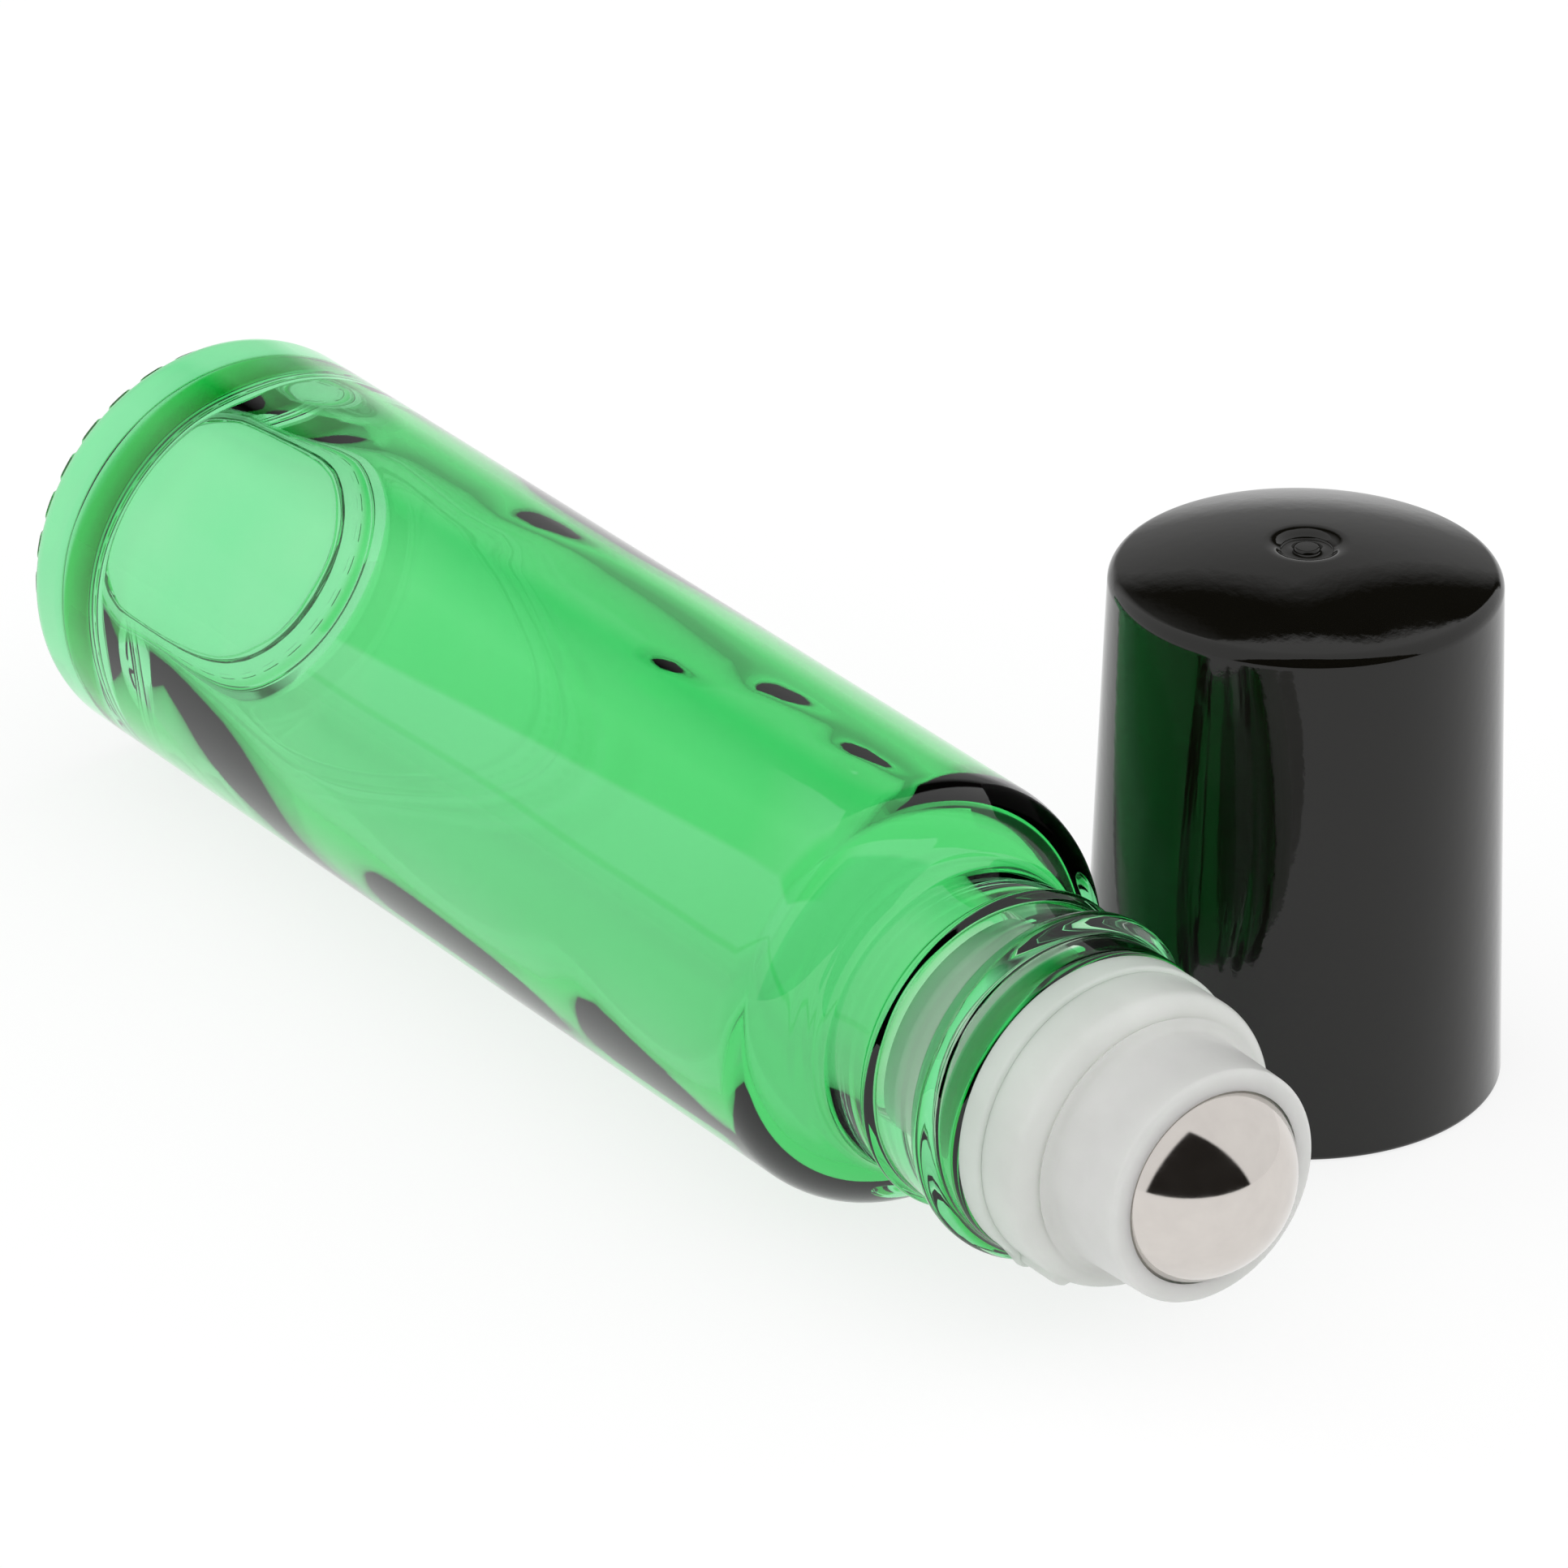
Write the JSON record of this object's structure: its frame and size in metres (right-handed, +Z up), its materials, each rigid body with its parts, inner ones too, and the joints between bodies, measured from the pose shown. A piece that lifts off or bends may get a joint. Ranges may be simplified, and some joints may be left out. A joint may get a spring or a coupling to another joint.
{
  "type": "roll on bottle",
  "caption": "Green glass roll-on bottle lying on its side, with a white roller housing and steel ball in its neck, and its tapered black screw cap standing beside it.",
  "frame": {"origin": "on the ground, under the middle of the box round the lying bottle and the standing cap", "axes": "+X along the bottle from its base to the ball, +Y from the bottle to the cap, +Z up from the ground"},
  "size_m": [0.0804, 0.0406, 0.0257],
  "materials": {
    "green_glass": "clear moulded glass, smooth and glossy",
    "milky_plastic": "translucent moulded polyethylene, satin",
    "polished_steel": "polished stainless steel",
    "black_plastic": "glossy moulded plastic"
  },
  "bodies": {
    "bottle": {"bottle": "green_glass", "roller_housing": "milky_plastic"},
    "ball": {"roller_ball": "polished_steel"},
    "cap": {"cap": "black_plastic"}
  },
  "joints": [
    {"name": "ball_roll", "type": "hinge", "parent": "bottle", "child": "ball", "pos_m": [0.03542, -0.01029, 0.01], "axis": [0, 1, 0], "continuous": true},
    {"name": "cap_lift", "type": "slide", "parent": "bottle", "child": "cap", "axis": [0, 0, 1], "range_m": [0, 0.04]}
  ]
}
